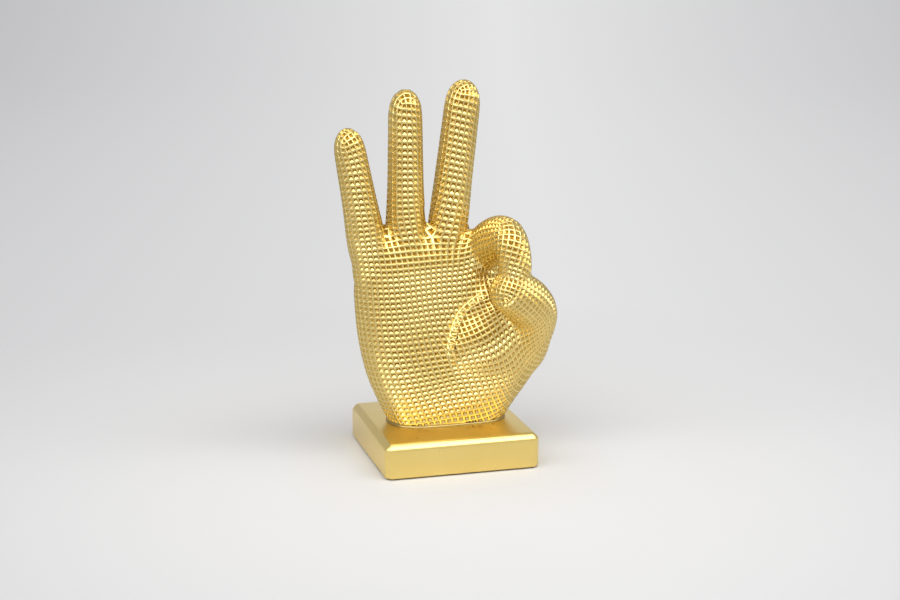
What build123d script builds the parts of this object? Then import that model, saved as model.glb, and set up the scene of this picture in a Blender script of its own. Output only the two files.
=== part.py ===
from build123d import *
from dataclasses import astuple, dataclass, replace
from math import cos, dist, radians, sin
import os

os.makedirs("parts", exist_ok=True)

# Millimetres. The origin is the middle of the felt's lower face, +Z is up and the palm faces -Y.


@dataclass
class Slice:
    """One level cut through the palm: its height above the plinth and how far it reaches each way."""

    height: float
    left: float
    right: float
    front: float
    back: float
    crease: float = 0
    hollow: float = 0
    heel: float = 0
    ball: float = 0

    def station(self):
        """Where the slice stands on the way up the palm."""
        return (self.height,)


@dataclass
class Joint:
    """One joint of a finger: its place, from the middle of the hand's foot, and the girth there."""

    x: float
    y: float
    z: float
    side: float
    depth: float

    def station(self):
        """Where the joint stands on the way along the finger."""
        return (self.x, self.y, self.z)

    def place(self):
        """The joint's place on the finished piece."""
        return deck.from_local_coords(Vector(self.x, self.y, self.z))


@dataclass
class Girth:
    """The radius of a straight finger at a distance from its root."""

    reach: float
    radius: float

    def station(self):
        """Where the girth stands on the way along the finger."""
        return (self.reach,)


# Felt and plinth
FELT_THICKNESS = 0.8
FELT_INSET = 4.0
FELT_CORNER = 3.0
PLINTH_SIDE = 101.6
PLINTH_HEIGHT = 22.4
PLINTH_CHAMFER = 3.4

# Fixing: a stud cemented in the hand, with a washer and nut in a recess under the plinth
STUD_DIAMETER = 8.0
STUD_GRIP = 26.0
STUD_TAIL = 1.5
CEMENT_GAP = 0.2
THREAD_GAP = 0.1
STUD_HOLE_CLEARANCE = 0.5
WASHER_DIAMETER = 20.0
WASHER_THICKNESS = 1.6
WASHER_CLEARANCE = 0.2
NUT_SIDES = 6
NUT_ACROSS_FLATS = 13.0
NUT_HEIGHT = 6.5
RECESS_CLEARANCE = 1.5
RECESS_SPARE = 1.0

# Bead of jointing compound round the hand's foot
BEAD_PROUD = 1.4
BEAD_HEIGHT = 1.6
BEAD_ROUND = 0.7
BEAD_BITE = 6.0

# Palm, from the foot on the plinth up to the knuckles
PALM_SQUARENESS = 0.79
PALM = [
    Slice(height=0, left=-36.5, right=40, front=-20, back=22),
    Slice(height=14, left=-43.5, right=49, front=-23.5, back=25, ball=2.5),
    Slice(height=34, left=-51.5, right=59.5, front=-24, back=25, crease=-6, hollow=2, heel=1, ball=7),
    Slice(height=60, left=-56.8, right=54, front=-19, back=22, crease=-6, hollow=3, heel=2, ball=7),
    Slice(height=90, left=-59, right=46, front=-15.5, back=18, crease=-3, hollow=2, heel=1, ball=1),
    Slice(height=107, left=-60, right=40, front=-14.2, back=15.5),
    Slice(height=112, left=-59.5, right=38, front=-12, back=14.5),
    Slice(height=119, left=-58, right=34, front=-9.5, back=12),
    Slice(height=124, left=-52, right=28, front=-5, back=7),
]

# The ball of the thumb, a long pad from the foot to the thumb's first knuckle
BALL = [
    Joint(x=12, y=6, z=15, side=12, depth=10),
    Joint(x=20, y=-2, z=30, side=29, depth=19.5),
    Joint(x=32, y=-11, z=48, side=32.5, depth=20.5),
    Joint(x=43, y=-15, z=65, side=25, depth=17),
]
BALL_END = 14.0

# Raised fingers: root inside the palm, end of the tip, girths from root to tip and the tip's length
LITTLE_ROOT = (-41.5, 0, 70)
LITTLE_END = (-63, 0, 194)
LITTLE = [Girth(0, 10), Girth(45, 12.8), Girth(76, 11.4), Girth(111, 10.1)]
LITTLE_TIP = 15.0
RING_ROOT = (-24.4, 2, 75)
RING_END = (-24.2, 1, 217.4)
RING = [Girth(0, 11), Girth(45, 13.3), Girth(80, 11.8), Girth(126, 10.9)]
RING_TIP = 16.0
MIDDLE_ROOT = (-2.8, 2, 75)
MIDDLE_END = (15, 1, 222)
MIDDLE = [Girth(0, 11), Girth(45, 13.1), Girth(85, 12.3), Girth(131, 11.5)]
MIDDLE_TIP = 16.0

# First finger and thumb, bent forward until their tips meet
INDEX = [
    Joint(x=19, y=3, z=80, side=11, depth=11),
    Joint(x=23, y=1, z=104, side=13, depth=13.5),
    Joint(x=28.5, y=-15.5, z=120, side=12.8, depth=14.6),
    Joint(x=33.2, y=-32.5, z=124.2, side=11.8, depth=14),
    Joint(x=35.3, y=-40, z=115, side=11, depth=12.2),
    Joint(x=35.6, y=-42, z=105, side=10.4, depth=11),
]
INDEX_TIP = 10.5
THUMB = [
    Joint(x=32, y=-2, z=30, side=15, depth=12),
    Joint(x=45, y=-9.5, z=43.5, side=21, depth=17),
    Joint(x=50.5, y=-18.5, z=59, side=17.5, depth=16.5),
    Joint(x=52, y=-30, z=74.5, side=15.4, depth=15),
    Joint(x=43.5, y=-38, z=85.5, side=15.6, depth=15),
    Joint(x=33, y=-42, z=92.5, side=14.6, depth=14.2),
]
THUMB_TIP = 13.0

# Sunk facets: the grid of four-sided pits all over the hand, above a plain band at the foot
FACET_SIDE = 5.2
PIT_STEEPNESS = 0.38
PLAIN_BAND = 2.6

# Degrees round a finger's tip at which it is cut
TIP_CUTS = (25, 50, 72)

# Heights that follow from the stack
underside = Plane.XY.offset(FELT_THICKNESS)
deck = Plane.XY.offset(FELT_THICKNESS + PLINTH_HEIGHT)
recess_depth = WASHER_THICKNESS + NUT_HEIGHT + STUD_TAIL + RECESS_SPARE
washer_seat = underside.offset(recess_depth)
nut_seat = washer_seat.offset(-WASHER_THICKNESS)
stud_foot = nut_seat.offset(-NUT_HEIGHT - STUD_TAIL)
stud_length = STUD_TAIL + NUT_HEIGHT + WASHER_THICKNESS + PLINTH_HEIGHT - recess_depth + STUD_GRIP


def drawn_out(rows):
    """Rows a facet apart, on a smooth curve through the given ones."""
    values = [astuple(row) for row in rows]
    before = [2 * a - b for a, b in zip(values[0], values[1])]
    after = [2 * a - b for a, b in zip(values[-1], values[-2])]
    run = [before, *values, after]
    finer = []
    for row, ahead, *four in zip(rows, rows[1:], run, run[1:], run[2:], run[3:]):
        cuts = max(1, round(dist(row.station(), ahead.station()) / FACET_SIDE))
        for step in range(cuts):
            finer.append(type(row)(*(between(*numbers, step / cuts) for numbers in zip(*four))))
    return finer + [rows[-1]]


def between(before, start, stop, after, share):
    """The value that share of the way from start to stop, on a curve that also heeds their neighbours."""
    slope = (stop - before) / 2
    bend = before - 2.5 * start + 2 * stop - after / 2
    twist = (after - before) / 2 + 1.5 * (start - stop)
    return start + share * (slope + share * (bend + share * twist))


def palm_cut(cut):
    """The rounded outline of one palm slice, as a flat face at its height."""
    middle_x = (cut.left + cut.right) / 2
    middle_y = (cut.front + cut.back) / 2
    corner_x = PALM_SQUARENESS * (cut.right - cut.left) / 2
    corner_y = PALM_SQUARENESS * (cut.back - cut.front) / 2
    with BuildSketch(deck.offset(cut.height), mode=Mode.PRIVATE) as outline:
        with BuildLine():
            Spline(
                (cut.right, middle_y),
                (middle_x + corner_x, middle_y + corner_y),
                (middle_x, cut.back),
                (middle_x - corner_x, middle_y + corner_y),
                (cut.left, middle_y),
                (middle_x - corner_x, middle_y - corner_y - cut.heel),
                (cut.crease, cut.front + cut.hollow),
                (middle_x + corner_x, middle_y - corner_y - cut.ball),
                periodic=True,
            )
        make_face()
    return outline.sketch.face()


def foot_band(proud, height):
    """The foot's outline, let out by the given amount, at a height above the plinth."""
    foot = PALM[0]
    band = replace(
        foot,
        height=height,
        left=foot.left - proud,
        right=foot.right + proud,
        front=foot.front - proud,
        back=foot.back + proud,
    )
    outline = palm_cut(band)
    return flat_face(*corners_round(outline, round(outline.wire().length / FACET_SIDE)))


@dataclass
class Limb:
    """The palm, or a pad or finger that grows from it: flat cuts from root to tip, and the tip's end."""

    cuts: list
    end: Vector
    plain_rows: int = 0

    def __post_init__(self):
        self.middles = [cut.center() for cut in self.cuts]
        self.slants = [cut.normal_at() for cut in self.cuts]
        self.columns = round(max(cut.wire().length for cut in self.cuts) / FACET_SIDE)

    def holds(self, point):
        """Whether a point lies inside this limb."""
        nearest = min(range(len(self.cuts)), key=lambda row: dist(self.middles[row], point))
        lift = (point - self.middles[nearest]).dot(self.slants[nearest])
        if abs(lift) > FACET_SIDE:
            return False
        return self.cuts[nearest].is_inside(point - self.slants[nearest] * lift)

    def solid(self, others):
        """The limb with a pit in each cell of its skin that stands free of the other limbs."""
        rings = [corners_round(cut, self.columns) for cut in self.cuts]
        skin = [flat_face(*reversed(rings[0]))]
        for row, (low, high) in enumerate(zip(rings, rings[1:])):
            for corners in zip(low, low[1:] + low[:1], high[1:] + high[:1], high):
                free = not any(other.holds(corner) for other in others for corner in corners)
                skin += cell(list(corners), PIT_STEEPNESS if free and row >= self.plain_rows else 0)
        top = rings[-1]
        skin += [flat_face(here, ahead, self.end) for here, ahead in zip(top, top[1:] + top[:1])]
        return Solid(Shell(skin))


def corners_round(cut, columns):
    """That many points, evenly spaced along the edge of a cut."""
    edge = cut.wire()
    return [edge @ (step / columns) for step in range(columns)]


def flat_face(*corners):
    """A flat face between the given corners."""
    return Face(Wire.make_polygon(corners))


def cell(corners, steepness):
    """Four faces that slope from the corners of one cell of the grid down to its middle."""
    across = min((corners[1] - corners[0]).length, (corners[2] - corners[3]).length)
    upward = (corners[3] - corners[0]).length
    outward = (corners[2] - corners[0]).cross(corners[3] - corners[1]).normalized()
    bottom = sum(corners, Vector()) / len(corners) - outward * steepness * min(across, upward)
    return [flat_face(here, ahead, bottom) for here, ahead in zip(corners, corners[1:] + corners[:1])]


def girth(place, along, side, depth):
    """One oval cut across a finger, square to the way the finger runs."""
    with BuildSketch(Plane(origin=place, x_dir=(1, 0, 0), z_dir=along), mode=Mode.PRIVATE) as cut:
        Ellipse(side, depth)
    return cut.sketch.face()


def rounded_tip(place, along, side, depth, length):
    """The cuts across a finger's rounded tip, each smaller than the last."""
    cuts = []
    for angle in TIP_CUTS:
        shrink = cos(radians(angle))
        cuts.append(girth(place + along * length * sin(radians(angle)), along, side * shrink, depth * shrink))
    return cuts


def straight_finger(root, end, girths, tip_length):
    """A raised finger, from its root to the end of its rounded tip."""
    start, stop = (deck.from_local_coords(Vector(*place)) for place in (root, end))
    along = (stop - start).normalized()
    cuts = [girth(start + along * cut.reach, along, cut.radius, cut.radius) for cut in drawn_out(girths)]
    pad = girths[-1].radius
    return Limb(cuts + rounded_tip(stop - along * tip_length, along, pad, pad, tip_length), stop)


def bent_finger(joints, tip_length):
    """A finger through its joints, closed by a rounded tip."""
    bone = drawn_out(joints)
    last = bone[-1]
    along = (last.place() - bone[-2].place()).normalized()
    cuts = []
    for behind, here, ahead in zip([bone[0], *bone], bone, bone[1:]):
        cuts.append(girth(here.place(), ahead.place() - behind.place(), here.side, here.depth))
    cuts.append(girth(last.place(), along, last.side, last.depth))
    cuts += rounded_tip(last.place(), along, last.side, last.depth, tip_length)
    return Limb(cuts, last.place() + along * tip_length)


def palm_block():
    """The palm, from the plain band at its foot up to the knuckles."""
    foot, calf, top = PALM[0], PALM[1], PALM[-1]
    share = PLAIN_BAND / calf.height
    band = Slice(*(low + share * (high - low) for low, high in zip(astuple(foot), astuple(calf))))
    levels = drawn_out([foot, band, *PALM[1:]])
    middle = Vector((top.left + top.right) / 2, (top.front + top.back) / 2, top.height)
    return Limb([palm_cut(level) for level in levels], deck.from_local_coords(middle), plain_rows=1)


# The hand: palm, ball of the thumb, three raised fingers, and first finger and thumb closed to a ring
limbs = [
    palm_block(),
    bent_finger(BALL, BALL_END),
    straight_finger(LITTLE_ROOT, LITTLE_END, LITTLE, LITTLE_TIP),
    straight_finger(RING_ROOT, RING_END, RING, RING_TIP),
    straight_finger(MIDDLE_ROOT, MIDDLE_END, MIDDLE, MIDDLE_TIP),
    bent_finger(INDEX, INDEX_TIP),
    bent_finger(THUMB, THUMB_TIP),
]
with BuildPart() as hand:
    add([limb.solid([other for other in limbs if other is not limb]) for limb in limbs])
    with BuildSketch(deck):
        Circle(STUD_DIAMETER / 2 + CEMENT_GAP)
    extrude(amount=STUD_GRIP, mode=Mode.SUBTRACT)

hand.part.label = "hand_casting"
export_step(hand.part, "parts/hand_casting.step", write_pcurves=False)

# The plinth: a chamfered square block with a stud hole and a nut recess
with BuildPart() as plinth:
    with BuildSketch(underside):
        Rectangle(PLINTH_SIDE, PLINTH_SIDE)
    extrude(amount=PLINTH_HEIGHT)
    uprights = plinth.edges().filter_by(Axis.Z)
    rim = plinth.faces().sort_by(Axis.Z)[-1].edges()
    chamfer(uprights + rim, PLINTH_CHAMFER)
    with BuildSketch(underside):
        Circle(WASHER_DIAMETER / 2 + RECESS_CLEARANCE)
    extrude(amount=recess_depth, mode=Mode.SUBTRACT)
    with BuildSketch(washer_seat):
        Circle(STUD_DIAMETER / 2 + STUD_HOLE_CLEARANCE)
    extrude(amount=PLINTH_HEIGHT - recess_depth, mode=Mode.SUBTRACT)

plinth.part.label = "plinth"
export_step(plinth.part, "parts/plinth.step")

# The bead: a rounded ring laid round the foot, shaped by the hand above it
with BuildPart() as bead:
    lower = foot_band(BEAD_PROUD, 0)
    shoulder = foot_band(BEAD_PROUD, BEAD_HEIGHT - BEAD_ROUND)
    upper = foot_band(BEAD_PROUD - BEAD_ROUND, BEAD_HEIGHT)
    loft(sections=[lower, shoulder, upper], ruled=True)
    loft(sections=[foot_band(-BEAD_BITE, 0), foot_band(-BEAD_BITE, BEAD_HEIGHT)], mode=Mode.SUBTRACT)
    add(hand.part, mode=Mode.SUBTRACT)

bead.part.label = "foot_bead"
export_step(bead.part, "parts/foot_bead.step")

# The stud
with BuildPart() as stud:
    with BuildSketch(stud_foot):
        Circle(STUD_DIAMETER / 2)
    extrude(amount=stud_length)

stud.part.label = "fixing_stud"
export_step(stud.part, "parts/fixing_stud.step")

# The washer
with BuildPart() as washer:
    with BuildSketch(nut_seat):
        Circle(WASHER_DIAMETER / 2)
        Circle(STUD_DIAMETER / 2 + WASHER_CLEARANCE, mode=Mode.SUBTRACT)
    extrude(amount=WASHER_THICKNESS)

washer.part.label = "fixing_washer"
export_step(washer.part, "parts/fixing_washer.step")

# The nut
with BuildPart() as nut:
    with BuildSketch(nut_seat):
        RegularPolygon(NUT_ACROSS_FLATS / 2, NUT_SIDES, major_radius=False)
        Circle(STUD_DIAMETER / 2 + THREAD_GAP, mode=Mode.SUBTRACT)
    extrude(amount=-NUT_HEIGHT)

nut.part.label = "fixing_nut"
export_step(nut.part, "parts/fixing_nut.step")

# The felt
with BuildPart() as felt:
    with BuildSketch():
        RectangleRounded(PLINTH_SIDE - 2 * FELT_INSET, PLINTH_SIDE - 2 * FELT_INSET, FELT_CORNER)
    extrude(amount=FELT_THICKNESS)

felt.part.label = "felt_base"
export_step(felt.part, "parts/felt_base.step")
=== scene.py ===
"""A gold hand that makes the OK sign on a low square plinth: its looks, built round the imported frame."""

import logging
import math
from collections.abc import Callable
from dataclasses import dataclass
from enum import Enum

import bmesh
import bpy
import numpy as np
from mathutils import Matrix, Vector
from mathutils.bvhtree import BVHTree
from mathutils.geometry import convex_hull_2d


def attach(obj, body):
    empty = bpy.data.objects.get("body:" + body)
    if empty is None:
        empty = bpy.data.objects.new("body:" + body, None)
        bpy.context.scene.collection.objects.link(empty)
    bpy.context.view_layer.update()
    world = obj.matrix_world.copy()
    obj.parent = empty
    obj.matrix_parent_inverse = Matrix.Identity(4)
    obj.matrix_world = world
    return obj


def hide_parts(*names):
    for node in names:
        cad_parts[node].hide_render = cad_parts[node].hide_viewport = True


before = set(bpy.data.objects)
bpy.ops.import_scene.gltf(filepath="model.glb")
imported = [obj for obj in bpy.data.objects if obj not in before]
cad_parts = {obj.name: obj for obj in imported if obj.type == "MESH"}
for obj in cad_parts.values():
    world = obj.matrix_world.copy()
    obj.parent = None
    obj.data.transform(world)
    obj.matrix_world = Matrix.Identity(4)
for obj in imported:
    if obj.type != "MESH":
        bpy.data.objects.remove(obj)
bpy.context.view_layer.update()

BODY = "root"
MM = 0.001

# In millimetres: corners this near are one corner, and points this near touch
WELD_GAP = 0.002
TOUCH = 0.01

Span = tuple[float, float]
Band = tuple[float, float, float, float]
Colour = tuple[float, float, float]
Place = tuple[float, float, float]

# The share from none to all, and the usual range of cloudy noise
WHOLE: Span = (0.0, 1.0)
CLOUDS: Span = (0.3, 0.7)

log = logging.getLogger("hand_ornament")


class Slot(Enum):
    """The record's material slot names for the pieces that are made here; no piece is given one in this
    script.
    """

    HAND = "gold_hand"
    PLINTH = "gold_plinth"
    BEAD = "gold_bead"


class Facing(Enum):
    """How a piece's faces are shaded."""

    AS_CARVED = "each face as the carving left it"
    SMOOTH = "every face smooth"


def node_object(name: str) -> bpy.types.Object:
    """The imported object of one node."""
    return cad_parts[name]


def welded_copy(name: str) -> bmesh.types.BMesh:
    """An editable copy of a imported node, in millimetres, with its split corners joined.

    Args:
        name: the node's name.

    Returns:
        A new bmesh that the caller frees.
    """
    shape = bmesh.new()
    shape.from_mesh(node_object(name).data)
    bmesh.ops.scale(shape, vec=(1 / MM,) * 3, verts=shape.verts)
    bmesh.ops.remove_doubles(shape, verts=shape.verts, dist=WELD_GAP)
    return shape


def mesh_from(name: str, shape: bmesh.types.BMesh) -> bpy.types.Mesh:
    """A mesh from a bmesh, which is freed.

    Args:
        name: the mesh's name.
        shape: the bmesh.

    Returns:
        The new mesh.
    """
    mesh = bpy.data.meshes.new(name)
    shape.to_mesh(mesh)
    shape.free()
    return mesh


def placed(name: str, data: bpy.types.ID) -> bpy.types.Object:
    """A new object in the scene.

    Args:
        name: the object's name.
        data: its mesh, lamp or camera.

    Returns:
        The object.
    """
    made = bpy.data.objects.new(name, data)
    bpy.context.scene.collection.objects.link(made)
    return made


def new_piece(name: str, shape: bmesh.types.BMesh, facing: Facing) -> bpy.types.Object:
    """A scene object, in metres, from a bmesh in millimetres, which is freed.

    Args:
        name: the piece's name.
        shape: its mesh in millimetres.
        facing: how its faces are shaded.

    Returns:
        The new object, linked to the scene.
    """
    bmesh.ops.scale(shape, vec=(MM,) * 3, verts=shape.verts)
    mesh = mesh_from(name, shape)
    if facing is Facing.SMOOTH:
        mesh.shade_smooth()
    return placed(name, mesh)


def hand_over(piece: bpy.types.Object, nodes: tuple[str, ...]) -> None:
    """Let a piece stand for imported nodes.

    Args:
        piece: the new piece.
        nodes: the nodes that it replaces.
    """
    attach(piece, BODY)
    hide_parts(*nodes)
    log.info("%s: %d faces, for %s", piece.name, len(piece.data.polygons), ", ".join(nodes))


def paint(piece: bpy.types.Object, material: bpy.types.Material) -> None:
    """Give a piece one material."""
    piece.data.materials.clear()
    piece.data.materials.append(material)


def points_of(mesh: bpy.types.Mesh, kind: str = "co") -> np.ndarray:
    """The places or the normals of a mesh's points, one row each.

    Args:
        mesh: the mesh.
        kind: "co" for places, "normal" for normals.

    Returns:
        An array with three columns.
    """
    flat = np.empty(len(mesh.vertices) * 3)
    mesh.vertices.foreach_get(kind, flat)
    return flat.reshape(-1, 3)


def move_points(mesh: bpy.types.Mesh, places: np.ndarray) -> None:
    """Send a mesh's points to new places, one row each."""
    mesh.vertices.foreach_set("co", places.ravel())
    mesh.update()


def eased(value: np.ndarray | float, start: float, stop: float) -> np.ndarray | float:
    """A soft step: 0 before start, 1 after stop.

    Args:
        value: where to look.
        start: where the step begins.
        stop: where it ends.

    Returns:
        The step's height at each value.
    """
    share = np.clip((value - start) / (stop - start), 0.0, 1.0)
    return share * share * (3.0 - 2.0 * share)


def banded(value: np.ndarray, band: Band) -> np.ndarray:
    """A soft band: it rises between the first two bounds and falls between the last two.

    Args:
        value: where to look.
        band: the four bounds.

    Returns:
        The band's height at each value.
    """
    start, full, ease, stop = band
    return eased(value, start, full) * (1.0 - eased(value, ease, stop))


def forward(normals: np.ndarray, lean: Span) -> np.ndarray:
    """How far points face the front: 0 up to the first lean, 1 from the second on."""
    return eased(-normals[:, 1], *lean)


def front_view(places: np.ndarray) -> np.ndarray:
    """Points as seen from the front: across and up."""
    return places[:, [0, 2]]


def lengths(arrows: np.ndarray) -> np.ndarray:
    """The lengths of flat arrows, one row each."""
    return np.hypot(arrows[:, 0], arrows[:, 1])


class NodeBench:
    """A material's node tree, with short calls to place and join nodes."""

    def __init__(self, name: str) -> None:
        """Start a material with an empty tree.

        Args:
            name: the material's name.
        """
        self.material = bpy.data.materials.new(name)
        self.material.use_nodes = True
        self.tree = self.material.node_tree
        self.tree.nodes.clear()

    def node(self, kind: str, **settings: object) -> bpy.types.Node:
        """A new node.

        Args:
            kind: the node's type.
            settings: its properties.

        Returns:
            The node.
        """
        made = self.tree.nodes.new(kind)
        for key, value in settings.items():
            setattr(made, key, value)
        return made

    def join(self, source: bpy.types.NodeSocket, target: bpy.types.NodeSocket) -> None:
        """Join an output to an input."""
        self.tree.links.new(source, target)

    def fill(self, socket: bpy.types.NodeSocket, value: object) -> None:
        """Set an input, or join an output to it.

        Args:
            socket: the input.
            value: the value, or the output that gives it.
        """
        if isinstance(value, bpy.types.NodeSocket):
            self.join(value, socket)
        else:
            socket.default_value = value

    def noise(self, scale: float, detail: float, rough: float) -> bpy.types.NodeSocket:
        """Cloudy noise in the object's own coordinates.

        Args:
            scale: clouds per metre.
            detail: octaves.
            rough: how strong the finer octaves are.

        Returns:
            The noise's height.
        """
        place = self.node("ShaderNodeTexCoord")
        cloud = self.node("ShaderNodeTexNoise")
        cloud.inputs["Scale"].default_value = scale
        cloud.inputs["Detail"].default_value = detail
        cloud.inputs["Roughness"].default_value = rough
        self.join(place.outputs["Object"], cloud.inputs["Vector"])
        return cloud.outputs["Fac"]

    def remap(self, source: bpy.types.NodeSocket, span: Span, to: Span) -> bpy.types.NodeSocket:
        """Stretch a value from one range to another.

        Args:
            source: the value.
            span: its range.
            to: the new range.

        Returns:
            The stretched value.
        """
        stretch = self.node("ShaderNodeMapRange")
        self.join(source, stretch.inputs["Value"])
        stretch.inputs["From Min"].default_value = span[0]
        stretch.inputs["From Max"].default_value = span[1]
        stretch.inputs["To Min"].default_value = to[0]
        stretch.inputs["To Max"].default_value = to[1]
        return stretch.outputs["Result"]

    def reckon(self, operation: str, *terms: object, clamp: bool = False) -> bpy.types.NodeSocket:
        """Work out one sum.

        Args:
            operation: the sum's kind.
            terms: its numbers, or the outputs that give them.
            clamp: whether the result is kept between 0 and 1.

        Returns:
            The result.
        """
        made = self.node("ShaderNodeMath", operation=operation, use_clamp=clamp)
        for socket, term in zip(made.inputs, terms):
            self.fill(socket, term)
        return made.outputs[0]

    def blend(self, share: bpy.types.NodeSocket, first: object, second: Colour) -> bpy.types.NodeSocket:
        """Mix two colours.

        Args:
            share: how much of the second.
            first: a colour, or the output that gives it.
            second: a colour.

        Returns:
            The mixed colour.
        """
        mix = self.node("ShaderNodeMix", data_type="RGBA")
        self.join(share, mix.inputs["Factor"])
        self.fill(mix.inputs["A"], (*first, 1.0) if isinstance(first, tuple) else first)
        self.fill(mix.inputs["B"], (*second, 1.0))
        return mix.outputs["Result"]

    def bump(self, height: bpy.types.NodeSocket, depth: float) -> bpy.types.NodeSocket:
        """A normal from a height.

        Args:
            height: the height, 0 to 1.
            depth: how far it stands out, in metres.

        Returns:
            The normal.
        """
        dent = self.node("ShaderNodeBump")
        dent.inputs["Distance"].default_value = depth
        self.join(height, dent.inputs["Height"])
        return dent.outputs["Normal"]

    def surface(self, shader: bpy.types.Node) -> bpy.types.Material:
        """End the tree with a shader.

        Args:
            shader: the shader.

        Returns:
            The finished material.
        """
        end = self.node("ShaderNodeOutputMaterial")
        self.join(shader.outputs[0], end.inputs["Surface"])
        return self.material


@dataclass(frozen=True)
class SatinGold:
    """Gold lustre on a casting, mixed in clouds between a paler and a darker gold; a painted shade layer,
    where given, sends the shaded walls to the darker gold.
    """

    name: str
    rubbed: Colour
    darker_tone_and_shade: Colour
    gloss: Span
    grain: float
    grain_depth: float
    lacquer: float = 0.1
    lacquer_blur: float = 0.22
    painted_shade_layer: str | None = None
    cloud_tint: float = 0.25

    def material(self) -> bpy.types.Material:
        """Mix the finish.

        Returns:
            The finish as a material.
        """
        bench = NodeBench(self.name)
        shader = bench.node("ShaderNodeBsdfPrincipled")
        shader.inputs["Metallic"].default_value = 1.0
        shader.inputs["Coat Weight"].default_value = self.lacquer
        shader.inputs["Coat Roughness"].default_value = self.lacquer_blur
        share = bench.remap(bench.noise(scale=38.0, detail=4.0, rough=0.6), CLOUDS, WHOLE)
        # The painted shade layer, where given, sends shaded pit walls to the darker gold, with a little
        # cloudy tone on top
        if self.painted_shade_layer:
            layer = bench.node("ShaderNodeAttribute", attribute_name=self.painted_shade_layer)
            tint = bench.remap(share, WHOLE, (0.0, self.cloud_tint))
            share = bench.reckon("ADD", layer.outputs["Fac"], tint, clamp=True)
        bench.join(bench.blend(share, self.rubbed, self.darker_tone_and_shade), shader.inputs["Base Color"])
        smear = bench.noise(scale=70.0, detail=6.0, rough=0.65)
        bench.join(bench.remap(smear, CLOUDS, self.gloss), shader.inputs["Roughness"])
        speck = bench.noise(scale=self.grain, detail=3.0, rough=0.6)
        bench.join(bench.bump(speck, self.grain_depth), shader.inputs["Normal"])
        return bench.surface(shader)


@dataclass(frozen=True)
class ZincSteel:
    """Bright zinc on a turned steel fixing."""

    name: str = "bright_zinc"
    shade: Colour = (0.60, 0.61, 0.63)
    dull: Colour = (0.46, 0.47, 0.50)
    gloss: Span = (0.24, 0.4)

    def material(self) -> bpy.types.Material:
        """Mix the finish.

        Returns:
            The finish as a material.
        """
        bench = NodeBench(self.name)
        shader = bench.node("ShaderNodeBsdfPrincipled")
        shader.inputs["Metallic"].default_value = 1.0
        clouds = bench.noise(scale=160.0, detail=5.0, rough=0.6)
        bench.join(bench.blend(clouds, self.shade, self.dull), shader.inputs["Base Color"])
        bench.join(bench.remap(clouds, CLOUDS, self.gloss), shader.inputs["Roughness"])
        return bench.surface(shader)


@dataclass(frozen=True)
class DarkFelt:
    """Pressed felt with short fibres."""

    name: str = "dark_felt"
    fibre: Colour = (0.020, 0.018, 0.016)
    lint: Colour = (0.075, 0.068, 0.06)
    roughness: float = 0.95
    sheen: float = 0.5
    nap: float = 0.0004

    def material(self) -> bpy.types.Material:
        """Mix the finish.

        Returns:
            The finish as a material.
        """
        bench = NodeBench(self.name)
        shader = bench.node("ShaderNodeBsdfPrincipled")
        shader.inputs["Roughness"].default_value = self.roughness
        shader.inputs["Sheen Weight"].default_value = self.sheen
        fluff = bench.noise(scale=1400.0, detail=6.0, rough=0.75)
        bench.join(bench.blend(fluff, self.fibre, self.lint), shader.inputs["Base Color"])
        bench.join(bench.bump(fluff, self.nap), shader.inputs["Normal"])
        return bench.surface(shader)


@dataclass(frozen=True)
class StudioPaper:
    """Pale paper: it takes the object's shadow near by, and further off glows with a tone that darkens to
    both sides as painted shade.
    """

    name: str = "studio_paper"
    near: Colour = (0.70, 0.695, 0.69)
    far: Colour = (0.78, 0.78, 0.785)
    corner: Colour = (0.52, 0.52, 0.535)
    room: Colour = (0.68, 0.68, 0.68)
    even: Span = (0.12, 0.44)
    across: Place = (0.964, -0.266, 0.0)
    middle: float = 0.1
    fall_to: float = 1.0
    room_span: Span = (-0.45, -1.6)

    def material(self) -> bpy.types.Material:
        """Mix the paper's two looks.

        Returns:
            The paper as a material.
        """
        bench = NodeBench(self.name)
        place = bench.node("ShaderNodeTexCoord").outputs["Object"]
        rays = bench.node("ShaderNodeLightPath").outputs
        matt = bench.node("ShaderNodeBsdfDiffuse")
        matt.inputs["Color"].default_value = (*self.near, 1.0)
        glow = bench.node("ShaderNodeEmission")
        bench.join(self.tone(bench, place, rays["Is Glossy Ray"]), glow.inputs["Color"])
        reach = bench.node("ShaderNodeVectorMath", operation="LENGTH")
        bench.join(place, reach.inputs[0])
        even = bench.remap(reach.outputs["Value"], self.even, WHOLE)
        seen = bench.reckon("MAXIMUM", rays["Is Camera Ray"], rays["Is Glossy Ray"])
        seen = bench.reckon("MAXIMUM", seen, rays["Is Transmission Ray"])
        mix = bench.node("ShaderNodeMixShader")
        bench.join(bench.reckon("MULTIPLY", seen, even), mix.inputs["Fac"])
        bench.join(matt.outputs[0], mix.inputs[1])
        bench.join(glow.outputs[0], mix.inputs[2])
        return bench.surface(mix)

    def tone(
        self, bench: NodeBench, place: bpy.types.NodeSocket, mirrored: bpy.types.NodeSocket
    ) -> bpy.types.NodeSocket:
        """The glowing tone, darkened to both sides as painted shade; where the gold mirrors the paper in
        front, it turns to the room's darker tone as a painted reflection.

        Args:
            bench: the paper's node tree.
            place: the place on the paper.
            mirrored: 1 where the paper is seen in the gold.

        Returns:
            The tone.
        """
        axes = bench.node("ShaderNodeSeparateXYZ")
        bench.join(place, axes.inputs[0])
        front = bench.remap(axes.outputs["Y"], self.room_span, WHOLE)
        aside = bench.node("ShaderNodeVectorMath", operation="DOT_PRODUCT")
        bench.join(place, aside.inputs[0])
        aside.inputs[1].default_value = self.across
        apart = bench.reckon("SUBTRACT", aside.outputs["Value"], self.middle)
        fall = bench.remap(bench.reckon("ABSOLUTE", apart), (0.0, self.fall_to), WHOLE)
        paper = bench.blend(fall, self.far, self.corner)
        return bench.blend(bench.reckon("MULTIPLY", front, mirrored), paper, self.room)


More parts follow.
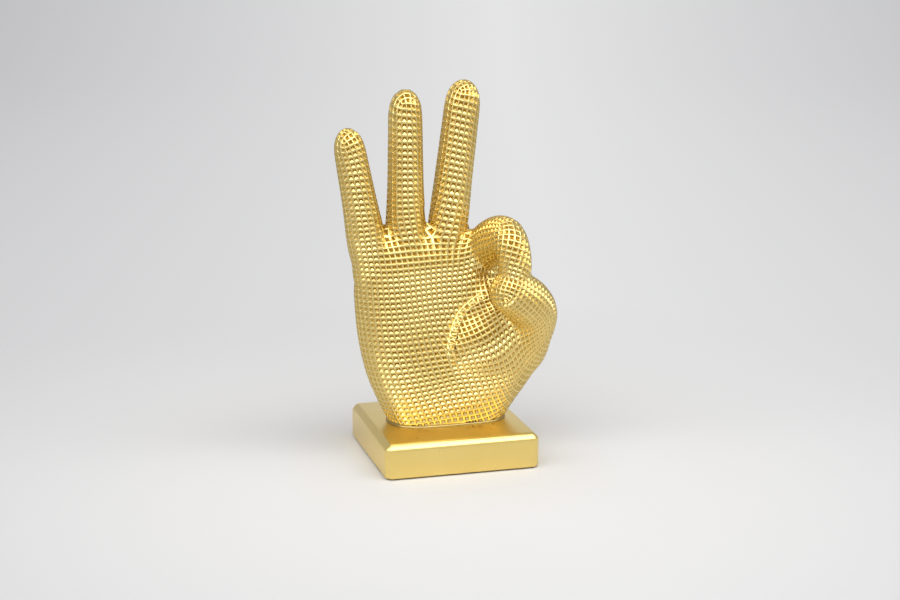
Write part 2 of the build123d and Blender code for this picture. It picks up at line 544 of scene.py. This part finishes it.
@dataclass(frozen=True)
class PitCut:
    """How a cell is sunk.

    The ridge and the shoulder are insets, as shares of the way to the cell's middle. The ridge's drop is a
    share of the cell's size. A wall's painted shade starts to lift where it faces up by the first turn, and
    is gone from the second on.
    """

    ridge: float
    shoulder: float
    ridge_drop: float
    shade_lift_turn: Span


@dataclass
class HandCasting:
    """The hand, with its grid of small sunk facets. Sizes are in millimetres."""

    # The closed form: foot, plug in the stud's socket, even skin
    deck: float = 23.2
    below: float = 10.0
    overlap: float = 0.5
    taper: float = 0.87
    plug_radius: float = 6.0
    plug_top: float = 30.0
    plug_sides: int = 32
    packed_pit_sides: int = 4
    least_pit: float = 0.4
    voxel: float = 1.0
    softness: float = 0.5
    smoothing: int = 8

    # Softened joins: ball of the thumb, fingers' roots, foot
    blend_rounds: int = 300
    blend_lean: Span = (-0.3, 0.2)
    least_weight: float = 0.01
    ball_middle: Span = (24.0, 72.0)
    ball_spread: Span = (32.0, 36.0)
    ball_edge: Span = (0.6, 1.0)
    ball_front: float = -34.0
    ball_ease: float = 6.0
    knuckles: Band = (124.0, 134.0, 140.0, 147.0)
    roots_front: Span = (-21.0, -17.0)
    foot: Band = (25.0, 36.0, 56.0, 76.0)
    foot_lean: Span = (0.1, 0.5)
    swell: float = 4.5
    swell_middle: Span = (26.0, 106.0)
    swell_reach: float = 16.0
    swell_ease: float = 2.0
    swell_lean: Span = (0.0, 0.3)

    # Rows of cells, which run level but for the ball of the thumb
    cells: int = 5600
    seed: int = 1
    groove_pitch: float = 8.0
    groove_depth: float = 0.5
    row_fall: float = 0.3
    row_fall_span: Span = (32.0, 80.0)
    settling: int = 3
    stretch_from: float = 145.0
    stretch_top: float = 245.0
    stretch: float = 0.24

    # The fold between the palm and the ball of the thumb, with its ladder of cells
    fold: tuple[Span, ...] = (
        (0.7, 58.0), (0.7, 67.2), (-0.7, 76.0), (3.3, 89.1),
        (8.6, 98.8), (15.3, 104.6), (22.5, 110.3), (30.0, 116.0),
    )
    fold_step: float = 2.0
    fold_width: float = 1.9
    fold_reach: float = 16.0
    fold_ends: Span = (12.0, 4.0)
    fold_lean: Span = (0.2, 0.5)
    fold_turn: float = 36.0
    turn_edge: float = 2.0
    rung_pitch: float = 3.9
    ladder_width: float = 4.0
    ladder_lift: float = 0.55
    ladder_skirt: float = 2.0
    ladder_from: float = 9.2
    ladder_short: float = 9.0
    well_ahead: float = -200.0

    # Closed feet of the slits between the fingers
    creases: tuple[tuple[Span, Span], ...] = (
        ((-43.5, 158.0), (-38.0, 145.0)), ((-12.6, 163.0), (-13.5, 149.0)),
    )
    crease_depth: float = 2.2
    crease_width: float = 3.2
    crease_fade: float = 0.7
    crease_lean: Span = (0.1, 0.4)

    # Pits
    grid_cut: PitCut = PitCut(ridge=0.2, shoulder=0.3, ridge_drop=0.015, shade_lift_turn=(0.45, 0.8))
    ladder_cut: PitCut = PitCut(ridge=0.26, shoulder=0.34, ridge_drop=0.07, shade_lift_turn=(0.9, 1.5))
    shoulder_drop: float = 0.05
    depth: float = 0.42
    bottom_lift: float = 0.12
    plain_band: float = 1.0
    # Painted shade: how dark the pit walls that don't face up are painted, and the loop layer that holds it
    wall_painted_shade: float = 0.85
    layer: str = "pit_painted_shade"

    def squeezed(self, height: np.ndarray) -> np.ndarray:
        """Heights with the raised fingers squeezed, so that even cells come out taller there.

        Args:
            height: heights on the real hand.

        Returns:
            Heights on the squeezed hand.
        """
        over = np.maximum(height - self.stretch_from, 0.0)
        return height - 0.5 * self.stretch / (self.stretch_top - self.stretch_from) * over**2

    def unsqueezed(self, height: np.ndarray) -> np.ndarray:
        """The real heights of a squeezed hand.

        Args:
            height: heights on the squeezed hand.

        Returns:
            Heights on the real hand.
        """
        rate = self.stretch / (self.stretch_top - self.stretch_from)
        over = np.maximum(height - self.stretch_from, 0.0)
        return height - over + (1.0 - np.sqrt(np.maximum(1.0 - 2.0 * rate * over, 0.0))) / rate

    def closed_hand(self) -> bpy.types.Object:
        """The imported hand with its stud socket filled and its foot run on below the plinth's top.

        Returns:
            A working object in millimetres.
        """
        shape = welded_copy("hand_casting")
        self.levelled(shape)
        lowest = [v.co.copy() for v in shape.verts if abs(v.co.z - self.deck) < TOUCH]
        foot = [co for co in lowest if co.xy.length > self.plug_radius]
        middle = sum(foot, Vector()) / len(foot)
        foot.sort(key=lambda co: math.atan2(co.y - middle.y, co.x - middle.x))
        self.prism(shape, foot, middle)
        plug = bmesh.ops.create_cone(
            shape, cap_ends=True, segments=self.plug_sides, radius1=self.plug_radius,
            radius2=self.plug_radius, depth=self.plug_top + self.below / 2,
        )
        lift = self.deck + (self.plug_top - self.below / 2) / 2
        bmesh.ops.translate(shape, vec=(0, 0, lift), verts=plug["verts"])
        return placed("hand_work", mesh_from("hand_work", shape))

    def levelled(self, shape: bmesh.types.BMesh) -> None:
        """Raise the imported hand's wide pits back to its skin, so that the real, finer ones can be carved.

        Args:
            shape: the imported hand, changed in place.
        """
        shape.normal_update()
        raised = []
        for point in shape.verts:
            around = [edge.other_vert(point) for edge in point.link_edges]
            middle = sum((corner.co for corner in around), Vector()) / len(around)
            sunk = (middle - point.co).dot(point.normal)
            if len(around) == self.packed_pit_sides and sunk > self.least_pit:
                raised.append((point, around, middle))
        for point, around, middle in raised:
            point.co = middle
        shape.normal_update()
        for point, around, middle in raised:
            rise = sum((corner.co - middle).dot(corner.normal) for corner in around) / len(around)
            point.co = middle + point.normal * rise / 2
        log.info("%d packed pits levelled", len(raised))

    def prism(self, shape: bmesh.types.BMesh, foot: list[Vector], middle: Vector) -> None:
        """Add a closed tapering block that carries the foot's outline on downwards.

        Args:
            shape: the mesh to add to.
            foot: the outline, in order.
            middle: its middle.
        """
        rise = Vector((0, 0, self.overlap))
        drop = Vector((0, 0, self.below))
        upper = [shape.verts.new(co + rise) for co in foot]
        lower = [shape.verts.new(middle + (co - middle) * self.taper - drop) for co in foot]
        count = len(foot)
        for i in range(count):
            j = (i + 1) % count
            shape.faces.new((upper[i], lower[i], lower[j], upper[j]))
        shape.faces.new(upper)
        shape.faces.new(lower[::-1])

    def evened(self, work: bpy.types.Object) -> None:
        """Turn the working object's skin into even, smooth, flowing square cells.

        Args:
            work: the working object, changed in place.
        """
        bpy.context.view_layer.objects.active = work
        work.select_set(True)
        even = work.modifiers.new("even", "REMESH")
        even.mode = "VOXEL"
        even.voxel_size = self.voxel
        bpy.ops.object.modifier_apply(modifier="even")
        self.smoothed(work, self.smoothing)
        self.blended(work)
        self.swollen(work.data)
        self.move_heights(work.data, self.squeezed)
        faces = [tuple(face.vertices) for face in work.data.polygons]
        skin = BVHTree.FromPolygons(points_of(work.data).tolist(), faces)
        self.grooved(work.data)
        bpy.ops.object.quadriflow_remesh(
            use_mesh_symmetry=False, use_preserve_sharp=False, use_preserve_boundary=False,
            preserve_attributes=False, smooth_normals=False, mode="FACES",
            target_faces=self.cells, seed=self.seed,
        )
        self.settled(work.data, skin)
        self.move_heights(work.data, self.unsqueezed)
        self.folded(work.data)
        self.creased(work.data)

    def smoothed(self, work: bpy.types.Object, rounds: int, group: str = "") -> None:
        """Smooth the working object's skin.

        Args:
            work: the working object, changed in place.
            rounds: how often.
            group: the weighted points to smooth, or nothing for all of them.
        """
        soft = work.modifiers.new("soft", "SMOOTH")
        soft.factor = self.softness
        soft.iterations = rounds
        soft.vertex_group = group
        bpy.ops.object.modifier_apply(modifier="soft")

    def blended(self, work: bpy.types.Object) -> None:
        """Smooth the ball of the thumb into the palm, the fingers' roots into the knuckles, and the foot.

        Args:
            work: the working object, changed in place.
        """
        places, normals = points_of(work.data), points_of(work.data, "normal")
        span = (front_view(places) - np.array(self.ball_middle)) / np.array(self.ball_spread)
        ball = 1.0 - eased(lengths(span), *self.ball_edge)
        ball *= eased(places[:, 1], self.ball_front, self.ball_front + self.ball_ease)
        roots = banded(places[:, 2], self.knuckles) * eased(places[:, 1], *self.roots_front)
        foot = banded(places[:, 2], self.foot) * forward(normals, self.foot_lean)
        weights = np.maximum(np.maximum(ball, roots) * forward(normals, self.blend_lean), foot)
        group = work.vertex_groups.new(name="blend")
        for index in np.flatnonzero(weights > self.least_weight).tolist():
            group.add([index], float(weights[index]), "REPLACE")
        self.smoothed(work, self.blend_rounds, group.name)
        work.vertex_groups.clear()

    def from_fold(self, places: np.ndarray) -> tuple[np.ndarray, np.ndarray, float]:
        """How far points lie to the thumb's side of the fold, and how far along it, seen from the front.

        Args:
            places: the points.

        Returns:
            The distance aside, the distance along, and the fold's whole length.
        """
        aside = np.full(len(places), np.inf)
        along = np.zeros(len(places))
        run = 0.0
        for start, stop in zip(self.fold, self.fold[1:]):
            way = np.subtract(stop, start)
            length = float(np.hypot(*way))
            offset = front_view(places) - np.array(start)
            share = np.clip(offset @ way / length**2, 0.0, 1.0)
            reach = lengths(offset - share[:, None] * way)
            side = np.sign(offset[:, 0] * way[1] - offset[:, 1] * way[0])
            nearer = reach < np.abs(aside)
            aside[nearer] = (reach * side)[nearer]
            along[nearer] = run + share[nearer] * length
            run += length
        return aside, along, run

    def swollen(self, mesh: bpy.types.Mesh) -> None:
        """Swell the skin between the fold and the thumb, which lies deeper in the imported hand.

        Args:
            mesh: the smooth skin, changed in place.
        """
        places, normals = points_of(mesh), points_of(mesh, "normal")
        gap = lengths(front_view(places) - np.array(self.swell_middle))
        near = 1.0 - eased(gap, 0.0, self.swell_reach)
        inner = eased(places[:, 1], self.ball_front, self.ball_front + self.swell_ease)
        places[:, 1] -= self.swell * near * inner * forward(normals, self.swell_lean)
        move_points(mesh, places)

    def folded(self, mesh: bpy.types.Mesh) -> None:
        """Raise a narrow step along the fold between the palm and the ball of the thumb.

        Args:
            mesh: the mesh of cells, changed in place.
        """
        places, normals = points_of(mesh), points_of(mesh, "normal")
        aside, along, length = self.from_fold(places)
        rise = eased(aside, -self.fold_width, self.fold_width) * (1.0 - eased(aside, 0.0, self.fold_reach))
        rise *= eased(along, 0.0, self.fold_ends[0]) * eased(length - along, 0.0, self.fold_ends[1])
        rise *= forward(normals, self.fold_lean)
        places[:, 1] -= self.fold_step * rise
        move_points(mesh, places)

    def creased(self, mesh: bpy.types.Mesh) -> None:
        """Press the closed foot of each slit between two fingers into the skin.

        Args:
            mesh: the mesh of cells, changed in place.
        """
        places, normals = points_of(mesh), points_of(mesh, "normal")
        for top, foot in self.creases:
            way = np.subtract(foot, top)
            offset = front_view(places) - np.array(top)
            share = np.clip(offset @ way / float(way @ way), 0.0, 1.0)
            near = 1.0 - eased(lengths(offset - share[:, None] * way), 0.0, self.crease_width)
            sunk = near * (1.0 - self.crease_fade * share) * forward(normals, self.crease_lean)
            places[:, 1] += self.crease_depth * sunk
        move_points(mesh, places)

    def grooved(self, mesh: bpy.types.Mesh) -> None:
        """Press shallow grooves in the skin, which guide the rows of cells and are smoothed out later.

        Args:
            mesh: the skin, changed in place.
        """
        places, normals = points_of(mesh), points_of(mesh, "normal")
        front = forward(normals, self.fold_lean)
        aside, along, _ = self.from_fold(places)
        turned = eased(aside, -self.turn_edge, self.turn_edge)
        turned *= 1.0 - eased(aside, self.fold_turn / 2, self.fold_turn)
        turned *= eased(along, self.fold_ends[0], 2 * self.fold_ends[0]) * front
        fall = self.row_fall * eased(places[:, 2], *self.row_fall_span) * np.maximum(places[:, 0], 0.0)
        level = np.cos(2 * np.pi * (places[:, 2] + fall * front) / self.groove_pitch)
        slanted = np.cos(2 * np.pi * aside / self.groove_pitch)
        upright = np.sqrt(1.0 - np.clip(normals[:, 2] ** 2, 0.0, 1.0))
        height = (level * (1.0 - turned) + slanted * turned) * upright
        move_points(mesh, places + normals * (self.groove_depth * height)[:, None])

    def settled(self, mesh: bpy.types.Mesh, skin: BVHTree) -> None:
        """Lay the cells back on the smooth skin and even them out.

        Args:
            mesh: the mesh of cells, changed in place.
            skin: the smooth skin.
        """
        ends = np.empty(len(mesh.edges) * 2, dtype=int)
        mesh.edges.foreach_get("vertices", ends)
        first, second = ends.reshape(-1, 2).T
        count = np.bincount(ends, minlength=len(mesh.vertices))[:, None]
        places = points_of(mesh)
        for _ in range(self.settling):
            around = np.zeros_like(places)
            np.add.at(around, first, places[second])
            np.add.at(around, second, places[first])
            places = (places + around / count) / 2
            places = np.array([skin.find_nearest(Vector(place))[0] for place in places])
        move_points(mesh, places)

    @staticmethod
    def move_heights(mesh: bpy.types.Mesh, rule: Callable[[np.ndarray], np.ndarray]) -> None:
        """Send every point's height through a rule.

        Args:
            mesh: the mesh, changed in place.
            rule: gives the new heights.
        """
        places = points_of(mesh)
        places[:, 2] = rule(places[:, 2])
        move_points(mesh, places)

    def carved(self, work: bpy.types.Object) -> bmesh.types.BMesh:
        """Sink a four-sided pit in every cell, and leave thin ridges between them.

        Args:
            work: the object with one face for each cell.

        Returns:
            The carved mesh, with each wall's painted shade in a layer.
        """
        shape = bmesh.new()
        shape.from_mesh(work.data)
        shape.normal_update()
        painted_shade = shape.loops.layers.float.new(self.layer)
        plain = list(shape.faces)
        rungs = self.laddered(shape)
        for cell in plain:
            if cell.calc_center_median().z >= self.deck + self.plain_band:
                self.sink(shape, cell, painted_shade, self.grid_cut)
        for cell in rungs:
            self.sink(shape, cell, painted_shade, self.ladder_cut)
        return shape

    def palm_point(self, skin: BVHTree, x: float, z: float) -> Vector:
        """A point a little proud of the palm, looked for behind the thumb where the thumb covers it.

        Args:
            skin: the mesh of cells.
            x: the place across the hand.
            z: the place up the hand.

        Returns:
            The point.
        """
        ahead = Vector((0.0, 1.0, 0.0))
        place = Vector((x, self.well_ahead, z))
        normal = ahead
        while normal.y > 0.0 or place.y < self.ball_front:
            place, normal, _, _ = skin.ray_cast(place + ahead * TOUCH, ahead)
        return place + normal * self.ladder_lift

    def laddered(self, shape: bmesh.types.BMesh) -> list[bmesh.types.BMFace]:
        """Lay one row of cells along the fold, like a ladder, a little proud of the skin.

        Args:
            shape: the mesh of cells, which gets the row's faces and its skirts.

        Returns:
            The row's faces, still to be sunk.
        """
        skin = BVHTree.FromBMesh(shape)
        bends = np.array(self.fold)
        runs = np.concatenate(([0.0], np.cumsum(lengths(np.diff(bends, axis=0)))))
        stops = np.arange(self.ladder_from, runs[-1] - self.ladder_short, self.rung_pitch)
        line = np.column_stack([np.interp(stops, runs, bends[:, axis]) for axis in (0, 1)])
        way = np.gradient(line, axis=0)
        way /= lengths(way)[:, None]
        aside = np.column_stack((way[:, 1], -way[:, 0])) * self.ladder_width / 2
        inward = Vector((0.0, self.ladder_skirt, 0.0))
        rails = []
        for edge in (line - aside, line + aside):
            top = [shape.verts.new(self.palm_point(skin, x, z)) for x, z in edge]
            foot = [shape.verts.new(v.co + inward) for v in top]
            rails.append((top, foot))
        (left, left_foot), (right, right_foot) = rails
        rungs = []
        for i in range(len(stops) - 1):
            rungs.append(shape.faces.new((left[i], right[i], right[i + 1], left[i + 1])))
            shape.faces.new((left_foot[i], left[i], left[i + 1], left_foot[i + 1]))
            shape.faces.new((right[i], right_foot[i], right_foot[i + 1], right[i + 1]))
        for i, turn in ((0, 1), (-1, -1)):
            shape.faces.new((left[i], left_foot[i], right_foot[i], right[i])[::turn])
        for face in rungs:
            face.normal_update()
        return rungs

    def sink(
        self, shape: bmesh.types.BMesh, cell: bmesh.types.BMFace, painted_shade: bmesh.types.BMLayerItem, cut: PitCut
    ) -> None:
        """Sink one pit, its bottom a little above the cell's middle.

        Args:
            shape: the mesh.
            cell: the cell's face, which the pit replaces.
            painted_shade: the layer that holds each wall's painted shade.
            cut: how the cell is sunk.
        """
        middle = cell.calc_center_median()
        normal = cell.normal.copy()
        size = math.sqrt(cell.calc_area())
        corners = list(cell.verts)
        lip_drop = cut.ridge_drop + self.shoulder_drop
        crest, lip = (
            [shape.verts.new(v.co.lerp(middle, inset) - normal * size * drop) for v in corners]
            for inset, drop in ((cut.ridge, cut.ridge_drop), (cut.shoulder, lip_drop))
        )
        upward = Vector((0.0, 0.0, 1.0)) - normal * normal.z
        bottom = shape.verts.new(middle + upward * size * self.bottom_lift - normal * size * self.depth)
        shape.faces.remove(cell)
        count = len(corners)
        for i in range(count):
            j = (i + 1) % count
            shape.faces.new((corners[i], corners[j], crest[j], crest[i])).smooth = True
            shape.faces.new((crest[i], crest[j], lip[j], lip[i])).smooth = True
            wall = shape.faces.new((lip[i], lip[j], bottom))
            outward = ((lip[i].co + lip[j].co) / 2 - middle).normalized()
            # Painted shade: walls that face up stay pale, the others get the darker gold
            tone = self.wall_painted_shade * (1.0 - eased(-outward.dot(upward), *cut.shade_lift_turn))
            for loop in wall.loops:
                loop[painted_shade] = tone

    def trimmed(self, shape: bmesh.types.BMesh) -> None:
        """Cut the carved hand off level at the plinth's top and close its foot.

        Args:
            shape: the carved mesh, changed in place.
        """
        everything = shape.verts[:] + shape.edges[:] + shape.faces[:]
        cut = bmesh.ops.bisect_plane(
            shape, geom=everything, plane_co=(0, 0, self.deck), plane_no=(0, 0, 1), clear_inner=True,
        )
        rim = [e for e in cut["geom_cut"] if isinstance(e, bmesh.types.BMEdge)]
        bmesh.ops.triangle_fill(shape, use_beauty=True, edges=rim)

    def build(self) -> bpy.types.Object:
        """Make the hand.

        Returns:
            The finished piece.
        """
        work = self.closed_hand()
        self.evened(work)
        shape = self.carved(work)
        self.trimmed(shape)
        bpy.data.objects.remove(work)
        piece = new_piece("hand_skin", shape, Facing.AS_CARVED)
        hand_over(piece, ("hand_casting",))
        return piece

    def dress(self, piece: bpy.types.Object) -> None:
        """Give the hand its gold."""
        # The darker gold is painted shade on the pit walls, steered by the pit layer
        gold = SatinGold(
            name="hand_gold", rubbed=(0.87, 0.68, 0.26), darker_tone_and_shade=(0.58, 0.40, 0.10), gloss=(0.24, 0.30),
            grain=2200.0, grain_depth=0.00002, painted_shade_layer=self.layer,
        )
        paint(piece, gold.material())


@dataclass
class Plinth:
    """The low square block under the hand. Sizes are in millimetres, turns in degrees."""

    round_edge: float = 1.2
    steps: int = 4
    flat_turn: float = 1.0
    least_edge: float = 1.5
    sharp_turn: float = 25.0
    outer_from: float = 40.0
    shading_turn: float = 32.0

    def build(self) -> bpy.types.Object:
        """Make the block, with its chamfers' edges eased.

        Returns:
            The finished piece.
        """
        shape = welded_copy("plinth")
        bmesh.ops.dissolve_limit(
            shape, angle_limit=math.radians(self.flat_turn), verts=shape.verts, edges=shape.edges,
        )
        turn = math.radians(self.sharp_turn)
        long = [e for e in shape.edges if e.calc_length() > self.least_edge]
        sharp = [e for e in long if e.calc_face_angle(0.0) > turn]
        outer = [e for e in sharp if max(abs(c) for v in e.verts for c in v.co.xy) > self.outer_from]
        bmesh.ops.bevel(
            shape, geom=outer, offset=self.round_edge, offset_type="OFFSET", segments=self.steps, profile=0.5,
            affect="EDGES", clamp_overlap=True,
        )
        piece = new_piece("plinth_block", shape, Facing.SMOOTH)
        piece.data.set_sharp_from_angle(angle=math.radians(self.shading_turn))
        hand_over(piece, ("plinth",))
        return piece

    def dress(self, piece: bpy.types.Object) -> None:
        """Give the block its gold."""
        gold = SatinGold(
            name="plinth_gold", rubbed=(0.885, 0.68, 0.24), darker_tone_and_shade=(0.865, 0.66, 0.22), gloss=(0.27, 0.30),
            grain=3000.0, grain_depth=0.000006,
        )
        paint(piece, gold.material())


@dataclass
class FootBead:
    """The thin round bead of jointing compound round the hand's foot. Sizes are in millimetres."""

    radius: float = 1.15
    height: float = 1.55
    points: int = 240
    turns: int = 8

    def outline(self) -> list[Vector]:
        """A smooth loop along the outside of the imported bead's foot.

        Returns:
            The loop's points, in order.
        """
        shape = welded_copy("foot_bead")
        low = min(v.co.z for v in shape.verts)
        flat = [v.co.xy for v in shape.verts if v.co.z - low < TOUCH]
        hull = [flat[i] for i in convex_hull_2d(flat)]
        shape.free()
        loop = []
        for step in range(self.points):
            place = step / self.points * len(hull)
            near = int(place)
            a, b, c, d = (hull[(near + k) % len(hull)] for k in (-1, 0, 1, 2))
            t = place - near
            bend = (c - a) * t + (2 * a - 5 * b + 4 * c - d) * t**2 + (3 * b - 3 * c + d - a) * t**3
            loop.append((b + bend / 2).to_3d() + Vector((0, 0, low)))
        return loop

    def build(self) -> bpy.types.Object:
        """Make the bead.

        Returns:
            The finished piece.
        """
        loop = self.outline()
        middle = sum(loop, Vector()) / len(loop)
        shape = bmesh.new()
        rings = []
        for behind, here, ahead in zip(loop[-1:] + loop[:-1], loop, loop[1:] + loop[:1]):
            inward = Vector((0, 0, 1)).cross(ahead - behind).normalized()
            inward *= math.copysign(1.0, inward.dot(middle - here))
            ring = []
            for step in range(self.turns + 1):
                turn = math.pi * step / self.turns
                over = inward * self.radius * (1 - math.cos(turn))
                over += Vector((0, 0, self.height * math.sin(turn)))
                ring.append(shape.verts.new(here + over))
            rings.append(ring)
        for ring, ahead in zip(rings, rings[1:] + rings[:1]):
            for step in range(self.turns + 1):
                after = (step + 1) % (self.turns + 1)
                shape.faces.new((ring[step], ahead[step], ahead[after], ring[after]))
        bmesh.ops.recalc_face_normals(shape, faces=shape.faces)
        piece = new_piece("bead_ring", shape, Facing.SMOOTH)
        hand_over(piece, ("foot_bead",))
        return piece

    def dress(self, piece: bpy.types.Object) -> None:
        """Give the bead a darker copy of the gold, as painted shade."""
        gold = SatinGold(
            name="bead_gold", rubbed=(0.46, 0.35, 0.14), darker_tone_and_shade=(0.40, 0.29, 0.10), gloss=(0.3, 0.38),
            grain=2600.0, grain_depth=0.00002,
        )
        paint(piece, gold.material())


@dataclass
class Fixings:
    """Stud, washer and nut, inside the plinth."""

    nodes: tuple[str, ...] = ("fixing_stud", "fixing_washer", "fixing_nut")

    def dress(self) -> None:
        """Give the fixings their zinc."""
        zinc = ZincSteel().material()
        for name in self.nodes:
            paint(node_object(name), zinc)
        log.info("fixings dressed")


@dataclass
class FeltBase:
    """The felt sheet under the plinth."""

    node: str = "felt_base"

    def dress(self) -> None:
        """Give the felt its fibres."""
        paint(node_object(self.node), DarkFelt().material())
        log.info("felt dressed")


@dataclass(frozen=True)
class Softbox:
    """One soft lamp, which faces a point above the floor's middle. Sizes are in metres, power in watts."""

    name: str
    place: Place
    aim_height: float
    size: Span
    power: float

    def hang(self) -> None:
        """Hang the lamp."""
        data = bpy.data.lights.new(self.name, "AREA")
        data.shape = "RECTANGLE"
        data.size, data.size_y = self.size
        data.energy = self.power
        lamp = placed(self.name, data)
        lamp.location = self.place
        way = Vector((0, 0, self.aim_height)) - Vector(self.place)
        lamp.rotation_euler = way.to_track_quat("-Z", "Y").to_euler()


@dataclass
class Studio:
    """A round pale cove, soft lamps and the camera. Sizes are in metres, turns in degrees."""

    floor_rings: tuple[float, ...] = (0.4, 0.8, 2.0)
    cove_radius: float = 1.2
    cove_steps: int = 12
    wall_height: float = 3.0
    sides: int = 96
    boxes: tuple[Softbox, ...] = (
        Softbox("key_box", place=(0.05, -0.84, 1.4), aim_height=0.12, size=(3.0, 0.9), power=30.0),
        Softbox("top_box", place=(0.0, 0.25, 1.7), aim_height=0.1, size=(1.4, 1.2), power=4.0),
        Softbox("left_box", place=(-1.5, -0.4, 0.9), aim_height=0.12, size=(0.7, 0.9), power=6.0),
        Softbox("right_box", place=(1.5, -0.6, 0.9), aim_height=0.12, size=(0.7, 0.9), power=3.0),
    )
    air: Colour = (0.80, 0.80, 0.81)
    air_strength: float = 0.45
    target: Place = (0.0047, 0.0, 0.1022)
    azimuth: float = -15.43
    elevation: float = 13.42
    distance: float = 1.216
    lens: float = 75.0
    sensor: float = 36.0
    near_clip: float = 0.02

    def cove(self) -> None:
        """Make the floor, which curves up into a wall all round."""
        profile = [(reach, 0.0) for reach in self.floor_rings]
        edge = self.floor_rings[-1]
        for step in range(1, self.cove_steps + 1):
            turn = math.radians(90 * step / self.cove_steps)
            reach = edge + self.cove_radius * math.sin(turn)
            profile.append((reach, self.cove_radius * (1 - math.cos(turn))))
        profile.append((edge + self.cove_radius, self.wall_height))
        shape = bmesh.new()
        rings = []
        for reach, height in profile:
            turns = [2 * math.pi * k / self.sides for k in range(self.sides)]
            corners = [(reach * math.cos(turn), reach * math.sin(turn), height) for turn in turns]
            rings.append([shape.verts.new(corner) for corner in corners])
        shape.faces.new(rings[0])
        for inner, outer in zip(rings, rings[1:]):
            for k in range(self.sides):
                n = (k + 1) % self.sides
                shape.faces.new((inner[k], outer[k], outer[n], inner[n]))
        mesh = mesh_from("studio_floor", shape)
        mesh.shade_smooth()
        floor = placed("studio_floor", mesh)
        paint(floor, StudioPaper().material())

    def lights(self) -> None:
        """Hang the lamps and set the world."""
        for box in self.boxes:
            box.hang()
        world = bpy.data.worlds.new("studio_air")
        bpy.context.scene.world = world
        world.use_nodes = True
        air = world.node_tree.nodes["Background"]
        air.inputs["Color"].default_value = (*self.air, 1.0)
        air.inputs["Strength"].default_value = self.air_strength

    def camera(self) -> None:
        """Set the camera at the photograph's angle."""
        az, el = math.radians(self.azimuth), math.radians(self.elevation)
        back = Vector((math.sin(az) * math.cos(el), -math.cos(az) * math.cos(el), math.sin(el)))
        data = bpy.data.cameras.new("camera")
        data.lens = self.lens
        data.sensor_width = self.sensor
        data.clip_start = self.near_clip
        camera = placed("camera", data)
        camera.location = Vector(self.target) + back * self.distance
        camera.rotation_euler = back.to_track_quat("Z", "Y").to_euler()
        bpy.context.scene.camera = camera

    def build(self) -> None:
        """Set the whole studio."""
        self.cove()
        self.lights()
        self.camera()
        bpy.context.scene.view_settings.view_transform = "Standard"
        log.info("studio set, with %d lamps", len(self.boxes))


def main() -> None:
    """Build and dress every piece."""
    logging.basicConfig(level=logging.INFO, format="%(name)s: %(message)s")
    Studio().build()
    for piece in (HandCasting(), Plinth(), FootBead()):
        piece.dress(piece.build())
    for trim in (Fixings(), FeltBase()):
        trim.dress()


if __name__ == "__main__":
    main()
